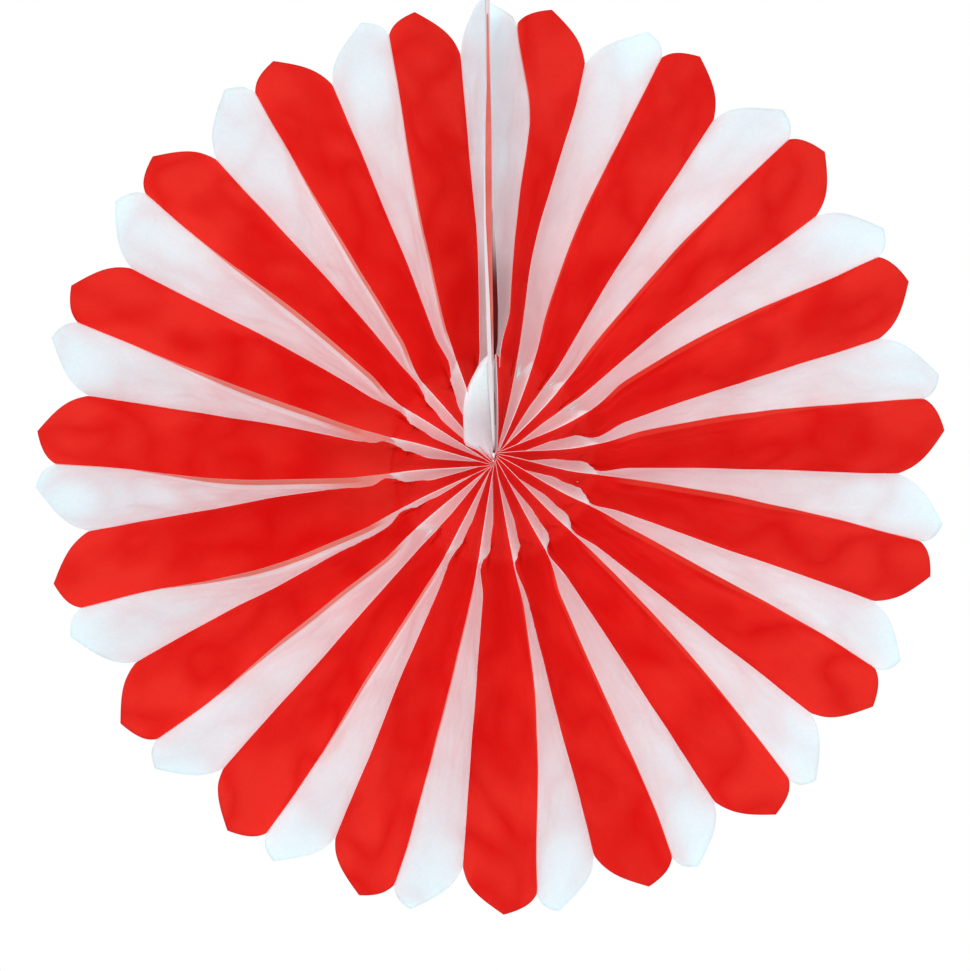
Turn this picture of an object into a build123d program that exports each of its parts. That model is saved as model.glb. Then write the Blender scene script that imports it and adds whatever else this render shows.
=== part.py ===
from build123d import *
import os
from math import asin, degrees, radians, sin, sqrt

os.makedirs("parts", exist_ok=True)

# A tissue paper fan opened all the way round into a rosette. The fan's axis is Y
# and its front faces -Y. The seam where its two ends meet stands at the top, on +Z.
# The origin is on the axis, midway between the front folds and the back folds.

# The rosette
petal_pairs = 19
fan_radius = 200
shoulder_radius = 185
hub_radius = 2.6

# One tissue sheet: a long strip that runs from the hub to the rim
sheet_width = 48
sheet_thickness = 0.3
glue_strip = 3
glue_film = 0.05

# The pointed outer end of every sheet, cut with one die through the closed stack. The
# covers aren't pointed, and the sheets glued to them keep their full length beside them.
tip_depth_share = 0.4
front_arch_bulge = 0.8
back_arch_bulge = 2

# The small inner lobe, parted from the long petal by a curved cut from the front
lobe_tip_radius = 44.5
lobe_root_radius = 39
lobe_root_depth_share = 0.7
lobe_bulge = 1.5
lobe_gap = 1.6

# The two end covers, back to back in the seam
card_thickness = 0.8

# Cutting tools run past the paper by this much
overrun = 4

# Sections of a sheet are taken at these shares of the way from hub to rim. The back
# folds run straight out, but each front fold sways off its radial line by these angles
# in degrees, anticlockwise seen from the front, so that the red faces turn to the front.
section_shares = (0, 0.21, 0.42, 0.64, 1)
front_sway_angles = (0, -4, -3, -1.8, 0)
back_sway_angles = (0, 0, 0, 0, 0)

# No fan opens quite evenly. Each front fold, clockwise from the seam, stands off its
# even place by these angles in degrees, with all of it from the third section on. The
# last one is the seam, which stays in place.
front_drift_angles = (
    -1.6, -0.9, 0.1, 0.9, 1.6, 1.7, 0.6, 0.3, 0, -0.4,
    -0.5, -1.3, -1.3, -0.3, -0.1, -0.2, -0.1, 0.6, 0.8, 0,
)
drift_shares = (0, 0.5, 1, 1, 1)

# Each of the two white sheets beside the seam is half as wide across as the others
# at the rim, and as wide at the hub, given here as shares at the same sections.
seam_sheet_shares = (1, 0.8, 0.55, 0.5, 0.5)

outer_section_radius = fan_radius + overrun
section_radii = [hub_radius + share * (outer_section_radius - hub_radius) for share in section_shares]
cover_side = card_thickness + glue_film / 2


def cover_angle(radius):
    """Angle that one cover takes up beside the seam at a radius."""
    return degrees(asin(cover_side / radius))


def fold_depth(radius):
    """Distance between the front folds and the back folds at a radius."""
    half_pitch = radians(180 / petal_pairs)
    return sqrt(sheet_width**2 - (radius * sin(half_pitch)) ** 2)


def fold_angles(step, sway_angles, drift):
    """Angles of one fold at each section, counted clockwise in sheets from the first fold."""
    angles = []
    sections = zip(section_radii, seam_sheet_shares, sway_angles, drift_shares)
    for radius, seam_share, sway, drift_share in sections:
        sheet_angle = (360 - 2 * cover_angle(radius)) / (2 * petal_pairs - 1 + 2 * seam_share)
        even_angle = cover_angle(radius) + (seam_share + step) * sheet_angle
        angles.append(even_angle + sway + drift * drift_share)
    return angles


def front_fold(pair):
    """The front fold between the white and the red sheet of a pair."""
    return fold_angles(2 * (pair - 1), front_sway_angles, front_drift_angles[pair - 1])


def back_fold(pair):
    """The back fold between the red sheet of a pair and the next white sheet."""
    drift = (front_drift_angles[pair - 1] + front_drift_angles[pair]) / 2
    return fold_angles(2 * (pair - 1) + 1, back_sway_angles, drift)


def radial_plane(angle):
    """Plane through the axis, with X outwards and Y to the back."""
    outwards = Vector(0, 0, 1).rotate(Axis.Y, angle)
    return Plane(origin=(0, 0, 0), x_dir=outwards, z_dir=outwards.cross(Vector(0, 1, 0)))


def fold_points(angles):
    """Points of a fold at each section, on the plane halfway between front and back."""
    return [Vector(0, 0, radius).rotate(Axis.Y, angle) for radius, angle in zip(section_radii, angles)]


def die_outline(half_depth, lobe_half_depth, uncut_sides=()):
    """Outline that the die cuts: a pointed rim end, and the slot under the inner lobe.

    The uncut sides, -1 for the front and 1 for the back, keep their full length."""
    tip = (fan_radius, (2 * tip_depth_share - 1) * half_depth)
    front_corner = (shoulder_radius, -half_depth)
    back_corner = (shoulder_radius, half_depth)
    side = sheet_width / 2 + overrun
    lobe_root = (lobe_root_radius, (2 * lobe_root_depth_share - 1) * lobe_half_depth)
    lobe_tip = (lobe_tip_radius, -lobe_half_depth)
    petal_start = (lobe_tip_radius + lobe_gap, -lobe_half_depth)
    with BuildSketch() as outline:
        with BuildLine():
            Polyline(
                back_corner,
                (shoulder_radius, side),
                (0, side),
                (0, -side),
                (shoulder_radius, -side),
                front_corner,
            )
            SagittaArc(front_corner, tip, -front_arch_bulge)
            SagittaArc(tip, back_corner, -back_arch_bulge)
        make_face()
        for uncut_side in uncut_sides:
            with BuildLine():
                Polyline(
                    tip,
                    (fan_radius, uncut_side * side),
                    (shoulder_radius - overrun, uncut_side * side),
                    (shoulder_radius - overrun, tip[1]),
                    close=True,
                )
            make_face()
        with BuildLine():
            SagittaArc(lobe_root, lobe_tip, lobe_bulge)
            Polyline(
                lobe_tip,
                (lobe_tip_radius, -side),
                (lobe_tip_radius + lobe_gap, -side),
                petal_start,
            )
            SagittaArc(petal_start, lobe_root, -lobe_bulge)
        make_face(mode=Mode.SUBTRACT)
    return outline.sketch


sheet_half_depths = (fold_depth(shoulder_radius) / 2, fold_depth(lobe_tip_radius) / 2)
sheet_outline = die_outline(*sheet_half_depths)
first_sheet_outline = die_outline(*sheet_half_depths, uncut_sides=(1,))
last_sheet_outline = die_outline(*sheet_half_depths, uncut_sides=(-1,))
cover_outline = die_outline(sheet_width / 2, sheet_width / 2, uncut_sides=(-1, 1))


def tissue_sheet(label, first_fold, last_fold, first_at_front, outline=sheet_outline):
    """One glued strip of tissue between two folds, given in clockwise order."""
    middle = (first_fold[-1] + last_fold[-1]) / 2
    clockwise = Vector(1, 0, 0).rotate(Axis.Y, middle)
    back = Vector(0, -1 if first_at_front else 1, 0)
    first_shift = clockwise * (glue_film / 2)
    last_shift = clockwise * (-glue_film / 2 - sheet_thickness)
    lines = []
    for radius, first, last in zip(section_radii, fold_points(first_fold), fold_points(last_fold)):
        edge = back * (fold_depth(radius) / 2)
        glued = back * (fold_depth(radius) / 2 - glue_strip)
        lines.append((
            first + first_shift + edge,
            first + first_shift + glued,
            last + last_shift - glued,
            last + last_shift - edge,
        ))
    facets = []
    for inner, outer in zip(lines, lines[1:]):
        facets.append((inner[0], inner[1], outer[1], outer[0]))
        facets.append((inner[1], inner[2], outer[1]))
        facets.append((inner[2], outer[2], outer[1]))
        facets.append((inner[2], inner[3], outer[3], outer[2]))
    with BuildPart() as sheet:
        for corners in facets:
            along = corners[1] - corners[0]
            plane = Plane(corners[0], x_dir=along, z_dir=along.cross(corners[2] - corners[0]))
            with BuildSketch(plane):
                with BuildLine():
                    Polyline(*[plane.to_local_coords(corner) for corner in corners], close=True)
                make_face()
            extrude(amount=sheet_thickness, dir=clockwise)
        with BuildSketch(radial_plane(middle)):
            add(outline)
        extrude(amount=fan_radius, both=True, mode=Mode.INTERSECT)
    sheet.part.label = label
    export_step(sheet.part, f"parts/{label}.step")


def cover_card(label, side):
    """One stiff end cover, cut with the same die, flat against the seam."""
    with BuildPart() as cover:
        with BuildSketch(radial_plane(0).offset(side * glue_film / 2)):
            with Locations((hub_radius, 0)):
                Rectangle(fan_radius, sheet_width, align=(Align.MIN, Align.CENTER))
            add(cover_outline, mode=Mode.INTERSECT)
        extrude(amount=side * card_thickness)
    cover.part.label = label
    export_step(cover.part, f"parts/{label}.step")


seam_left = [360 - cover_angle(radius) for radius in section_radii]
seam_right = [cover_angle(radius) for radius in section_radii]

cover_card("left_cover_card", 1)
cover_card("right_cover_card", -1)
for pair in range(1, petal_pairs + 1):
    before = seam_right if pair == 1 else back_fold(pair - 1)
    outline = first_sheet_outline if pair == 1 else sheet_outline
    tissue_sheet(f"white_sheet_{pair:02d}", before, front_fold(pair), False, outline)
    tissue_sheet(f"red_sheet_{pair:02d}", front_fold(pair), back_fold(pair), True)
tissue_sheet(f"white_sheet_{petal_pairs + 1:02d}", back_fold(petal_pairs), seam_left, False, last_sheet_outline)
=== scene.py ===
import math

import bpy
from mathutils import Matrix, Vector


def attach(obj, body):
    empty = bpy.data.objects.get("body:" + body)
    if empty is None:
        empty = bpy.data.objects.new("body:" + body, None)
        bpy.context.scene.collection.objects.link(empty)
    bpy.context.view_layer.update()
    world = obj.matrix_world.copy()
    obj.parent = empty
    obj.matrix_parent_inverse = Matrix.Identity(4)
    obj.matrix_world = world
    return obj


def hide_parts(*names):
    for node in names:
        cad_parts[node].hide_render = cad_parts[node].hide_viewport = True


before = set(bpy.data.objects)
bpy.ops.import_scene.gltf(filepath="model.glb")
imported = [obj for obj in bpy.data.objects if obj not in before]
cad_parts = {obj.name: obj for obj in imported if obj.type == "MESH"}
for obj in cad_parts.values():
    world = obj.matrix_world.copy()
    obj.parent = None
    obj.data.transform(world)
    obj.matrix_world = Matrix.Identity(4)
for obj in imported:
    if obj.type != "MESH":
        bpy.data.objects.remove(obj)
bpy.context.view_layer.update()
scene = bpy.context.scene
scene.view_settings.view_transform = "Standard"


# The camera stands half a metre in front of the rosette, a little to the left of its
# axis and a little below it, and looks nearly straight at the folds. The image that it
# takes is 970 by 971, so its long side is the sensor's width.
camera = bpy.data.objects.new("camera", bpy.data.cameras.new("camera"))
camera.data.lens = 42.0
camera.data.clip_start = 0.01
camera.location = (-0.0122, -0.5, -0.0099)
camera.rotation_euler = (math.radians(90 - 0.12), 0, math.radians(-0.95))
scene.collection.objects.link(camera)
scene.camera = camera


# White tissue sheets. Each is one long strip of thin white tissue, die-cut to a point at
# the rim and slit behind its small inner lobe. It is glued along its front fold to the red
# sheet that follows it clockwise, and along its back fold to the red sheet before it.
class Wire:
    """A socket of a node tree, with arithmetic written on it as on a number."""

    def __init__(self, tree, socket=None):
        self.tree, self.socket = tree, socket

    def node(self, kind, settings={}, values={}, out=0):
        made = self.tree.nodes.new(kind)
        for name, setting in settings.items():
            if name == "points":
                curve = made.mapping.curves[0]
                while len(curve.points) < len(setting):
                    curve.points.new(0.5, 0.5)
                for point, place in zip(curve.points, setting):
                    point.location = place
                made.mapping.update()
            else:
                setattr(made, name, setting)
        for place, value in values.items():
            if isinstance(value, Wire):
                self.tree.links.new(value.socket, made.inputs[place])
            else:
                made.inputs[place].default_value = value
        return Wire(self.tree, made.outputs[out])

    def math(self, operation, *values):
        return self.node("ShaderNodeMath", {"operation": operation}, dict(enumerate(values)))

    def __add__(self, other):
        return self.math("ADD", self, other)

    def __radd__(self, other):
        return self.math("ADD", other, self)

    def __sub__(self, other):
        return self.math("SUBTRACT", self, other)

    def __rsub__(self, other):
        return self.math("SUBTRACT", other, self)

    def __mul__(self, other):
        return self.math("MULTIPLY", self, other)

    def __rmul__(self, other):
        return self.math("MULTIPLY", other, self)

    def __truediv__(self, other):
        return self.math("DIVIDE", self, other)

    def __rtruediv__(self, other):
        return self.math("DIVIDE", other, self)

    def __lt__(self, other):
        return self.math("LESS_THAN", self, other)

    def __gt__(self, other):
        return self.math("GREATER_THAN", self, other)

    def clamp(self, low, high):
        return self.math("MINIMUM", self.math("MAXIMUM", self, low), high)

    def absolute(self):
        return self.math("ABSOLUTE", self)

    def sine(self):
        return self.math("SINE", self)

    def eased(self, start, end):
        """0 up to start and 1 from end on, with a smooth rise between them."""
        return self.node(
            "ShaderNodeMapRange", {"interpolation_type": "SMOOTHSTEP"},
            {0: self, 1: start, 2: end, 3: 0.0, 4: 1.0},
        )

    def blend(self, low, high):
        """low where this is 0, high where it is 1."""
        return low + (high - low) * self

    def curve(self, points):
        return self.node("ShaderNodeFloatCurve", {"points": points}, {"Value": self})

    def noise(self, place, scale, detail=2.0, roughness=0.5):
        """A number near 0, from about -0.5 to 0.5."""
        return self.node(
            "ShaderNodeTexNoise", {},
            {"Vector": place, "Scale": scale, "Detail": detail, "Roughness": roughness},
        ) - 0.5

    def place(self, x, y, z):
        return self.node("ShaderNodeCombineXYZ", {}, {0: x, 1: y, 2: z})

    def parts(self):
        """The three numbers of this place."""
        apart = self.tree.nodes.new("ShaderNodeSeparateXYZ")
        self.tree.links.new(self.socket, apart.inputs[0])
        return [Wire(self.tree, output) for output in apart.outputs]

    def mix(self, share, first, second, kind="MIX"):
        """first where the share is 0, second where it is 1, both colours."""
        return self.node(
            "ShaderNodeMix", {"data_type": "RGBA", "blend_type": kind},
            {"Factor": share, 6: first, 7: second}, out=2,
        )


petal_pairs = 19
rows_along, rows_in_lobe, columns = 92, 26, 41
seam_lean = math.radians(0.9)
fold = bpy.data.node_groups.new("pleated tissue sheet", "GeometryNodeTree")
fold.is_modifier = True
fold.interface.new_socket("Geometry", in_out="OUTPUT", socket_type="NodeSocketGeometry")
sheet_sizes = {
    "Front step": 0.0, "Back step": 1.0,
    "Front rim drift": 0.0, "Back rim drift": 0.0,
    "Front inner drift": 0.0, "Back inner drift": 0.0,
    "Front start drift": 0.0, "Back start drift": 0.0,
    "Front lobe drift": 0.0, "Back lobe drift": 0.0,
    "Front sway": 1.0, "Back sway": 1.0,
    "Front side": 1.0, "Back side": -1.0,
    "Front turn": 0.085, "Back turn": 0.085,
    "Sheet width": 0.048, "Rim radius": 0.2, "Shoulder radius": 0.1838,
    "Tip share": 0.4, "Front uncut": 0.0,
    "Lobe tip radius": 0.0445, "Lobe root radius": 0.039, "Hub radius": 0.0008,
    "Glue share": 0.0667, "Film": 0.00011,
    "Wave": 0.0012, "Crinkle": 0.0018, "Lean": 0.0042, "Lift": 0.0032, "Recess": 0.005,
    "Billow": 0.0, "Seed": 0.0,
}
for name, value in sheet_sizes.items():
    socket = fold.interface.new_socket(name, in_out="INPUT", socket_type="NodeSocketFloat")
    socket.default_value = value
fold.interface.new_socket("Finish", in_out="INPUT", socket_type="NodeSocketMaterial")
entry = fold.nodes.new("NodeGroupInput")
given = {name: Wire(fold, entry.outputs[name]) for name in sheet_sizes}
wire = Wire(fold)

# A flat grid, one unit each way, is the strip before it is cut: X runs from the hub to the
# rim, and Y from the front fold to the back fold.
grid = wire.node(
    "GeometryNodeMeshGrid", {},
    {"Size X": 1.0, "Size Y": 1.0, "Vertices X": rows_along, "Vertices Y": columns},
)
grid_x, grid_y = wire.node("GeometryNodeInputPosition").parts()[:2]
row = (grid_x + 0.5) * (rows_along - 1)
depth_share = grid_y + 0.5
in_lobe = row < rows_in_lobe - 0.5

# Where the die cuts the rim, the lobe and the petal behind it. The arches are added to the
# straight cuts, in metres, and the petal starts a little deeper under its lobe.
front_arch, back_arch, lobe_arch = 0.004, 0.0006, 0.008
lobe_root_share = 0.7
petal_overlap = 0.0048
toward_tip = (depth_share / given["Tip share"]).clamp(0, 1)
past_tip = ((depth_share - given["Tip share"]) / (1.0001 - given["Tip share"])).clamp(0, 1)
front_fall = (1 - toward_tip) * (1 - given["Front uncut"])
rise = given["Rim radius"] - given["Shoulder radius"]
rim = given["Rim radius"] - rise * (front_fall + past_tip) + (
    front_fall * toward_tip * front_arch + past_tip * (1 - past_tip) * back_arch
)
to_root = (depth_share / lobe_root_share).clamp(0, 1)
lobe_edge = given["Lobe root radius"] + (given["Lobe tip radius"] - given["Lobe root radius"]) * (
    1 - to_root
) + to_root * (1 - to_root) * lobe_arch
under_lobe = 1 - depth_share.eased(0.62, 0.74)
petal_edge = lobe_edge + 0.0002 - under_lobe * petal_overlap
lobe_rows, petal_rows = rows_in_lobe - 1, rows_along - 1 - rows_in_lobe
lobe_radius = (row / lobe_rows).clamp(0, 1).blend(given["Hub radius"], lobe_edge)
petal_radius = ((row - rows_in_lobe) / petal_rows).clamp(0, 1).blend(petal_edge, rim)
radius = in_lobe.blend(petal_radius, lobe_radius)

# The angle of each fold at this radius, clockwise from the seam. The curves run over the
# sections of the solids, from the hub at 2.6 mm to 204 mm.
section_start, section_length = 0.0026, 0.2014
cover_side = 0.00083
sway_range = math.radians(8)
wander_size = 0.0014
along = ((radius - section_start) / section_length).clamp(0, 1)
reach = radius * math.sin(math.pi / petal_pairs)
depth = wire.math("SQRT", given["Sheet width"] * given["Sheet width"] - reach * reach)
seam_share = along.curve([(0, 1), (0.21, 0.8), (0.42, 0.55), (0.64, 0.5), (1, 0.5)])
cover_angle = wire.math("ARCSINE", cover_side / radius.clamp(section_start, 1))
sheet_angle = (2 * math.pi - 2 * cover_angle) / (2 * petal_pairs - 1 + 2 * seam_share)
sway_curve = along.curve([(0, 0.5), (0.21, 0), (0.42, 0.125), (0.64, 0.275), (1, 0.5)])
front_sway = (sway_curve - 0.5) * sway_range


def fold_line(side, sway, past_lobe):
    """Angle in radians of the sheet's front or back fold."""
    count = (given[side + " step"] + seam_share).clamp(0, 2 * petal_pairs - 1 + 2 * seam_share)
    turn = given[side + " turn"]
    toward_rim = radius.eased(turn, turn * 0.36 + 0.14)
    drift = toward_rim.blend(given[side + " inner drift"], given[side + " rim drift"])
    drift = drift + given[side + " start drift"] * (1 - radius.eased(0.044, 0.064))
    drift = past_lobe.blend(given[side + " lobe drift"], drift) * math.radians(1)
    wander = wire.noise(wire.place(radius * 28, given[side + " step"] * 3.7, 0.0), 1.0, 1.0)
    wander = wander * wander_size * radius.eased(0.05, 0.12) / radius
    free = given[side + " sway"]
    return (
        cover_angle + sheet_angle * count + (sway + wander + drift) * free - (1 - free) * seam_lean
    )


front_angle = fold_line("Front", front_sway, 1 - in_lobe)
beside_root = depth_share.eased(0.55, 1.0) * 0.5
past_root = in_lobe.blend(
    1 - beside_root * (1 - radius.eased(0.039, 0.052)), beside_root * radius.eased(0.028, 0.039),
)
back_angle = fold_line("Back", 0.0, past_root)

# The glued front edge of a petal hangs over a little, always downwards
glue = given["Glue share"]
lean = given["Lean"] * radius.eased(0.044, 0.054) * (1 - radius.eased(0.105, 0.16))
lean = lean * given["Front sway"]
lean = front_angle.sine() * lean * depth_share.eased(0.0, glue * 2.0) / radius

# Between the glued edges the tissue bends from one fold to the other, with slow waves and
# small sharp crinkles where it hangs loose
bend_softness = 0.55
bend = ((depth_share - glue) / (1 - 2 * glue)).clamp(0, 1)
bend = bend - (bend * (2 * math.pi)).sine() * (bend_softness / (2 * math.pi))
film = bend.blend(given["Front side"], given["Back side"]) * given["Film"]
loose = depth_share.eased(glue, 0.3) * (1 - depth_share.eased(0.75, 1 - glue))
wave_place = wire.place(radius * 12, depth_share * 0.55, given["Seed"])
wave = wire.noise(wave_place, 1.6, 1.0) * given["Wave"] * 2
sharp = wire.noise(wire.place(radius * 60, depth_share * 2.6, given["Seed"]), 1.0, 3.0, 0.55)
crinkle = (sharp.absolute() - 0.08) * given["Crinkle"] * 4 * (1 - radius.eased(0.165, 0.19))
push = (wave + crinkle) * loose * radius.eased(0.01, 0.06)
angle = bend.blend(front_angle + lean, back_angle) + (film + push) / radius

# Near the hub the front folds are lifted on the right, lowered on the left and drawn in.
# The petal is tucked in behind its lobe, and the lobe beside the seam bulges to the left.
near_hub = 1 - radius.eased(0.0, 0.038)
lift = given["Lift"] * near_hub * (1 - depth_share.eased(0.0, 0.8))
lift = lift * (0.2 + front_angle.sine() * 0.8)
recess = given["Recess"] * (1 - radius.eased(0.0, 0.014)) * (1 - depth_share.eased(0.0, 0.5))
tucked = (1 - in_lobe) * (1 - radius.eased(0.036, 0.054)) * under_lobe * 0.009
to_leaf_tip = ((radius - 0.018) / 0.028).clamp(0, 1)
billow = given["Billow"] * in_lobe * radius.eased(0.0012, 0.007) * (1 - to_leaf_tip * to_leaf_tip)
billow = billow * (wire.math("SQRT", (depth_share / 0.8).clamp(0, 1)) * math.pi).sine()
x = radius * angle.sine() - billow
y = (depth_share - 0.5) * depth + recess + tucked - billow * 0.6
z = radius * wire.math("COSINE", angle) + lift

between_rows = (row > rows_in_lobe - 0.9) * (row < rows_in_lobe - 0.1)
slit = between_rows * (depth_share < lobe_root_share)
opened = wire.node(
    "GeometryNodeDeleteGeometry", {"domain": "FACE"}, {"Geometry": grid, "Selection": slit},
)
marked = wire.node(
    "GeometryNodeStoreNamedAttribute", {"data_type": "FLOAT2", "domain": "CORNER"},
    {"Geometry": opened, "Name": "UVMap", "Value": wire.place(depth_share, radius / 0.2, 0.0)},
)
bent = wire.node(
    "GeometryNodeSetPosition", {}, {"Geometry": marked, "Position": wire.place(x, y, z)},
)
smooth = wire.node("GeometryNodeSetShadeSmooth", {}, {"Geometry": bent})
real = wire.node("GeometryNodeRealizeInstances", {}, {"Geometry": smooth})
done = wire.node(
    "GeometryNodeSetMaterial", {},
    {"Geometry": real, "Material": Wire(fold, entry.outputs["Finish"])},
)
leave = fold.nodes.new("NodeGroupOutput")
fold.links.new(done.socket, leave.inputs[0])


def tissue(name, rim_colour, shaded_inner_colour, lit_lobe_colour, glue_and_shade_colour, thinness):
    """Thin tissue paper that lets some light through. It is mottled, with a colour for the rim, painted
    shade towards the hub, a painted highlight on the inner lobe, and a colour for the glued strips that
    also paints a shaded band on the left petals."""
    paper = bpy.data.materials.new(name)
    paper.use_nodes = True
    tree = paper.node_tree
    tree.nodes.clear()
    wire = Wire(tree)
    spot = wire.node("ShaderNodeTexCoord", out=3)
    leftward, height = 0 - spot.parts()[0], spot.parts()[2]
    share, out = wire.node("ShaderNodeUVMap", {"uv_map": "UVMap"}).parts()[:2]
    cloud = wire.noise(spot, 38.0, 2.0, 0.6)
    fibre = wire.noise(spot, 700.0, 0.0)
    dapple = wire.noise(spot, 26.0, 1.0, 0.5)
    patch = (dapple.absolute() * 6).clamp(0, 1)
    # Towards the hub the colour goes over to the inner colour. That is painted shade, and on the white
    # sheets a painted pink of red light bounced from the red sheets. Clouds and patches mottle it at
    # random.
    tone = ((out - 0.25) * 1.25 + cloud * 1.2 + (patch - 0.5) * out * 0.9).clamp(0, 1)
    colour = wire.mix(tone, shaded_inner_colour, rim_colour)
    # The inner lobes are painted lighter than the petals: a painted highlight where they stand forward in
    # the light.
    lobe = out.eased(0.07, 0.16) * (1 - out.eased(0.215, 0.235))
    colour = wire.mix(lobe, colour, lit_lobe_colour)

    # Two layers show at the glued strips. On the left petals a band in the same colour is painted shade,
    # tinted by red light through the tissue.
    strip = wire.math("MAXIMUM", share < 0.066, share > 0.934) * out.eased(0.24, 0.3)
    painted_shade_band = leftward.eased(0.040, 0.047) * (1 - leftward.eased(0.052, 0.085)) * (out > 0.228)
    painted_shade_band = painted_shade_band * (1 - height.absolute().eased(0.014, 0.034)) * 0.85
    colour = wire.mix(wire.math("MAXIMUM", strip, painted_shade_band), colour, glue_and_shade_colour)
    fleck = (0.98 + fibre * 0.14 + (patch - 0.5) * 0.09).clamp(0, 1.05)
    grey = wire.node("ShaderNodeCombineColor", {}, {0: fleck, 1: fleck, 2: fleck})
    colour = wire.mix(1.0, colour, grey, "MULTIPLY")
    body = wire.node(
        "ShaderNodeBsdfPrincipled", {},
        {"Base Color": colour, "Roughness": 0.75, "Specular IOR Level": 0.1},
    )
    glow = wire.node("ShaderNodeBsdfTranslucent", {}, {"Color": rim_colour})
    both = wire.node("ShaderNodeMixShader", {}, {0: thinness * (1 - lobe * 0.25), 1: body, 2: glow})
    end = tree.nodes.new("ShaderNodeOutputMaterial")
    tree.links.new(both.socket, end.inputs[0])
    return paper


def tissue_sheet(name, settings, paper):
    """One sheet of tissue, made by the tree and given its thickness."""
    holder = bpy.data.objects.new(name + "_tree", bpy.data.meshes.new(name + "_tree"))
    scene.collection.objects.link(holder)
    maker = holder.modifiers.new("sheet", "NODES")
    maker.node_group = fold
    for item in fold.interface.items_tree:
        if item.item_type == "SOCKET" and item.in_out == "INPUT":
            if item.name in settings:
                maker[item.identifier] = settings[item.name]
            elif item.name == "Finish":
                maker[item.identifier] = paper
    wall = holder.modifiers.new("tissue", "SOLIDIFY")
    wall.thickness = 0.00012
    wall.offset = 0
    shaped = holder.evaluated_get(bpy.context.evaluated_depsgraph_get())
    plain = bpy.data.meshes.new_from_object(shaped)
    plain.name = name
    bpy.data.objects.remove(holder)
    piece = bpy.data.objects.new(name, plain)
    scene.collection.objects.link(piece)
    return piece


# How far each of the 19 folds stands clockwise of its even place, in degrees: near the rim,
# halfway in, where the petals start and on the inner lobes. Near the rim a back fold stands
# midway between the front folds beside it.
rim_drift = [
    -1.6, -0.9, 0.1, 0.9, 1.6, 1.7, 0.6, 0.3, 0, -0.4, -0.5, -1.3, -1.3, -0.3, -0.1, -0.2, -0.1, 0.6, 0.8,
]
inner_drift = {
    "Front": [2.4, -2.5, 0, -0.5, 1, 1.5, 1.5, -0.5, 1.5, -2.5, 0, 0, 0.5, -4, -2, -0.5, 2, 1, 0],
    "Back": [-4, -1, -1, 1, 1.5, 1.5, 0.5, 0, 0, -0.5, -0.5, -1.5, -1.5, 0.5, 0.5, 1, 1, 1, 1.5],
}
start_drift = {
    "Front": [-4, 1, 0.5, 3, 1.5, -0.5, -1.5, -0.5, -3.5, 1, -0.5, -1, 1.5, 1, 0.5, 0, -3.5, -4, 0.5],
    "Back": [0, 0, 0, 3.8, 2.8, 2.3, 2.3, 2.3, 2.8, 3.3, 1.3, 0, 3.3, 2.8, 3.8, 2.3, 0.8, 2.8, 0],
}
lobe_drift = {
    "Front": [-4, -1.5, 0.5, 2.5, 2.5, 1, 0, -1, -2, -1.5, -0.5, -1, 2, -3, -1.5, -0.5, -1.5, -3, 0.5],
    "Back": [-3.5, -3.5, -3, -3.5, -5, -7, -7, -7.5, -6.5, -5, -4, -3, -2, -5, -3.5, -3.5, -4.5, -4, -3],
}


def drift_of(drifts, step):
    """Drift of the fold at a step round the fan. The seam doesn't drift."""
    return float(drifts[step // 2]) if 0 <= step < 2 * petal_pairs else 0.0


def sheet_settings(front_step, back_step, seed):
    """Inputs of the tree for one sheet between two folds."""
    rim_after = rim_drift[1:] + [0]
    rim_back = [(here + after) / 2 for here, after in zip(rim_drift, rim_after)]
    settings = {"Seed": seed, "Front turn": 0.14 if front_step == 0 else 0.085}
    facing = 1.0 if back_step > front_step else -1.0
    for side, step, rim_drifts, turned in (
        ("Front", front_step, rim_drift, facing), ("Back", back_step, rim_back, -facing),
    ):
        settings[side + " step"], settings[side + " side"] = float(step), turned
        settings[side + " sway"] = 1.0 if 0 <= step < 2 * petal_pairs else 0.0
        settings[side + " rim drift"] = drift_of(rim_drifts, step)
        settings[side + " inner drift"] = drift_of(inner_drift[side], step)
        settings[side + " start drift"] = drift_of(start_drift[side], step)
        settings[side + " lobe drift"] = drift_of(lobe_drift[side], step)
    return settings


# White sheets: the inner colour is painted pink shade from red bounce light, and the lobe colour is a
# painted highlight.
white_paper = tissue(
    "white tissue", rim_colour=(0.84, 0.95, 0.975, 1), shaded_inner_colour=(0.91, 0.80, 0.82, 1),
    lit_lobe_colour=(0.93, 0.99, 0.99, 1), glue_and_shade_colour=(0.84, 0.16, 0.09, 1), thinness=0.62,
)
for pair in range(1, petal_pairs + 2):
    settings = sheet_settings(2 * (pair - 1), 2 * (pair - 1) - 1, 3.1 * pair)
    if pair == 1:
        settings["Rim radius"], settings["Tip share"] = 0.211, 1.0
    if pair == petal_pairs + 1:
        settings["Front uncut"], settings["Billow"] = 1.0, 0.012
    sheet = tissue_sheet(f"white_tissue_{pair:02d}", settings, white_paper)
    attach(sheet, "root")
    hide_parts(f"white_sheet_{pair:02d}")


# Red tissue sheets. They are cut with the same die from the same thin tissue, dyed a
# strong red right through, and glued in turn between the white ones.
# Red sheets: the inner colour is painted darker shade, and the lobe colour is a painted highlight.
red_paper = tissue(
    "red tissue", rim_colour=(0.83, 0.046, 0.031, 1), shaded_inner_colour=(0.76, 0.003, 0.003, 1),
    lit_lobe_colour=(0.87, 0.022, 0.015, 1), glue_and_shade_colour=(0.88, 0.07, 0.045, 1), thinness=0.6,
)
for pair in range(1, petal_pairs + 1):
    settings = sheet_settings(2 * (pair - 1), 2 * (pair - 1) + 1, 3.1 * pair + 1.7)
    settings["Tip share"] = 0.45
    sheet = tissue_sheet(f"red_tissue_{pair:02d}", settings, red_paper)
    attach(sheet, "root")
    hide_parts(f"red_sheet_{pair:02d}")
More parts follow.
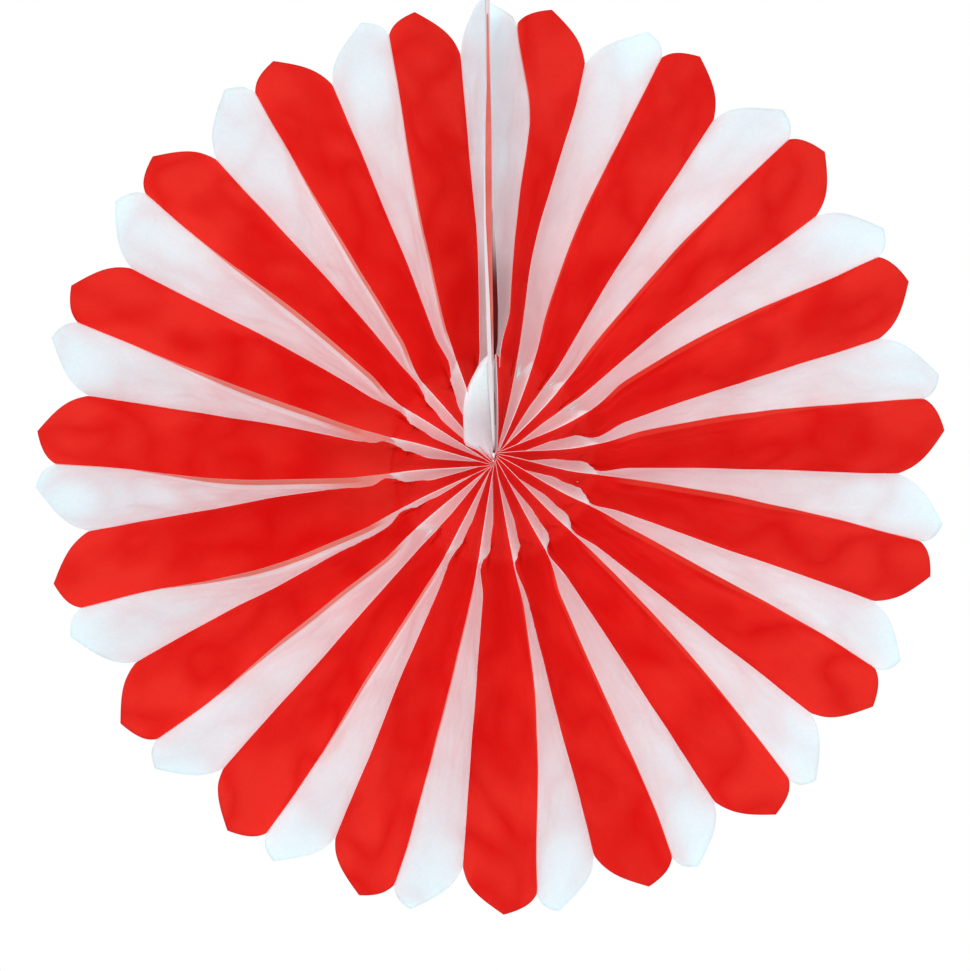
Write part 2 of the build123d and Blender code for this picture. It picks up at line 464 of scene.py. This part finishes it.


# Cover cards. Two stiff pale cards close the fan's ends, back to back in the seam, each glued
# to a white sheet. Coral paper binds their front edges, with a pale flap folded over it on
# the left. Near the hub the right card is cut back, which leaves a slot, dark with painted shade.
def mottled(name, noise_scale, noise_detail, contrast, dark, light, roughness):
    """A plain paper material between two colours, with its wire and its place on the part."""
    paper = bpy.data.materials.new(name)
    paper.use_nodes = True
    wire = Wire(paper.node_tree)
    spot = wire.node("ShaderNodeTexCoord", out=3)
    grain = wire.noise(spot, noise_scale, *noise_detail)
    tone = wire.mix((grain * contrast + 0.5).clamp(0, 1), dark, light)
    paper.node_tree.nodes["Principled BSDF"].inputs["Roughness"].default_value = roughness
    return paper, wire, spot, tone


def colour_with(paper, tone):
    body = paper.node_tree.nodes["Principled BSDF"]
    paper.node_tree.links.new(tone.socket, body.inputs["Base Color"])


card, wire, spot, card_tone = mottled(
    "pale card", 900.0, (4.0, 0.7), 1.0, (0.62, 0.54, 0.56, 1), (0.74, 0.67, 0.69, 1), 0.8,
)
card_depth, card_height = spot.parts()[1:]
# Inside the seam, up to about 0.1 m from the hub, the card is painted a dark red: painted shade in the
# slot.
in_seam = card_depth.eased(-0.0235, -0.014) * (1 - card_depth.eased(0.018, 0.0235))
slot_painted_shade = in_seam * (1 - card_height.eased(0.075, 0.1))
colour_with(card, wire.mix(slot_painted_shade, card_tone, (0.17, 0.005, 0.005, 1)))

binding, wire, spot, binding_tone = mottled(
    "coral binding", 90.0, (3.0, 0.6), 1.6, (0.56, 0.06, 0.045, 1), (0.70, 0.15, 0.12, 1), 0.75,
)
colour_with(binding, binding_tone)


def cover(name, slabs):
    """Closed slabs of one cover, each with its material's number, 0 for card and 1 for coral.
    Each level gives, in millimetres, the radius, the left and the right face, and the front
    and the back edge."""
    corners, faces, finishes = [], [], []
    upright, aside = math.cos(seam_lean), -math.sin(seam_lean)
    for levels, finish in slabs:
        start = len(corners)
        for out, left, right, front, back in levels:
            for across, deep in ((left, front), (right, front), (right, back), (left, back)):
                sideways = across * upright + out * aside
                outward = out * upright - across * aside
                corners.append((sideways / 1000, deep / 1000, outward / 1000))
        faces.append((start, start + 1, start + 2, start + 3))
        for level in range(len(levels) - 1):
            low = start + 4 * level
            for side in range(4):
                after = (side + 1) % 4
                faces.append((low + side, low + 4 + side, low + 4 + after, low + after))
        last = start + 4 * (len(levels) - 1)
        faces.append((last + 3, last + 2, last + 1, last))
        finishes += [finish] * (4 * (len(levels) - 1) + 2)
    mesh = bpy.data.meshes.new(name)
    mesh.from_pydata(corners, [], faces)
    mesh.materials.append(card)
    mesh.materials.append(binding)
    for face, finish in zip(mesh.polygons, finishes):
        face.material_index = finish
    piece = bpy.data.objects.new(name, mesh)
    scene.collection.objects.link(piece)
    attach(piece, "root")
    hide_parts(name + "_card")


left_card = [(4, -0.85, -0.05, -18, 24), (9, -0.85, -0.05, -24, 24), (200, -0.85, -0.05, -24, 24)]
left_binding = [
    (40, -1.2, -0.6, -24.7, -24.1), (62, -2.2, 0.0, -24.8, -24.1), (108, -2.6, 0.2, -24.8, -24.1),
    (140, -1.9, 0.5, -24.8, -24.1), (160, -1.0, 0.3, -24.8, -24.1), (187, -0.6, -0.2, -24.7, -24.1),
]
left_flap = [
    (8, -1.0, -0.5, -24.7, -24.1), (30, -2.3, -0.6, -25.2, -24.7), (66, -2.9, -1.3, -25.2, -24.7),
    (100, -3.3, -2.4, -25.2, -24.7), (128, -2.7, -2.3, -25.0, -24.7),
]
right_card = [
    (4, 0.05, 0.85, 6, 24), (64, 0.05, 0.85, 4, 24), (96, 0.05, 0.85, -6, 24), (114, 0.05, 0.85, -24, 24),
    (200, 0.05, 0.85, -24, 24),
]
right_flap = [
    (16, 0.8, 1.2, 3, 7), (36, 0.8, 2.2, 1, 5), (66, 0.8, 2.8, -4, 0), (88, 0.8, 2.2, -8, -4),
    (106, 0.8, 1.2, -18, -14),
]
cover("left_cover", [(left_card, 0), (left_binding, 1), (left_flap, 0)])
cover("right_cover", [(right_card, 0), (right_flap, 0)])


# The pale studio: a soft white room, a floor well below the hanging rosette and two large
# lamps, the stronger one high on the left.
def lamp(name, place, size, power):
    """A soft square lamp that points from its place to the rosette's middle."""
    light = bpy.data.lights.new(name, "AREA")
    light.size, light.energy = size, power
    made = bpy.data.objects.new(name, light)
    made.location = place
    inward = Vector([-along for along in place])
    made.rotation_euler = inward.to_track_quat("-Z", "Y").to_euler()
    scene.collection.objects.link(made)


lamp("key lamp", (-0.9, -1.3, 1.0), 0.9, 6)
lamp("fill lamp", (1.1, -1.5, 0.2), 1.2, 3)

# Thin tissue hands light on from leaf to leaf. Four mild lamps beside the rosette stand in
# for that: they cast no shadow, so they reach into the folds.
for side, place in {
    "left": (-1.4, -0.3, 0), "right": (1.4, -0.3, 0),
    "upper": (0, -0.3, 1.4), "lower": (0, -0.3, -1.4),
}.items():
    lamp(side + " leaf lamp", place, 0.8, 2.8)
    bpy.data.lights[side + " leaf lamp"].use_shadow = False

floor_mesh = bpy.data.meshes.new("floor")
floor_corners = [(-0.5, -0.5, -0.45), (0.5, -0.5, -0.45), (0.5, 0.5, -0.45), (-0.5, 0.5, -0.45)]
floor_mesh.from_pydata(floor_corners, [], [(0, 1, 2, 3)])
floor = bpy.data.objects.new("floor", floor_mesh)
scene.collection.objects.link(floor)
paint = bpy.data.materials.new("floor paint")
paint.use_nodes = True
paint_body = paint.node_tree.nodes["Principled BSDF"]
paint_body.inputs["Base Color"].default_value = (0.9, 0.9, 0.9, 1)
paint_body.inputs["Roughness"].default_value = 0.9
floor_mesh.materials.append(paint)

world = bpy.data.worlds.new("white room")
world.use_nodes = True
scene.world = world
wire = Wire(world.node_tree)
world.node_tree.nodes.clear()
straight = wire.node("ShaderNodeLightPath", out=0)
seen = wire.node("ShaderNodeBackground", {}, {"Color": (1, 1, 1, 1), "Strength": 1.0})
felt = wire.node("ShaderNodeBackground", {}, {"Color": (0.98, 0.99, 1, 1), "Strength": 0.9})
sky = wire.node("ShaderNodeMixShader", {}, {0: straight, 1: felt, 2: seen})
sky_end = world.node_tree.nodes.new("ShaderNodeOutputWorld")
world.node_tree.links.new(sky.socket, sky_end.inputs[0])
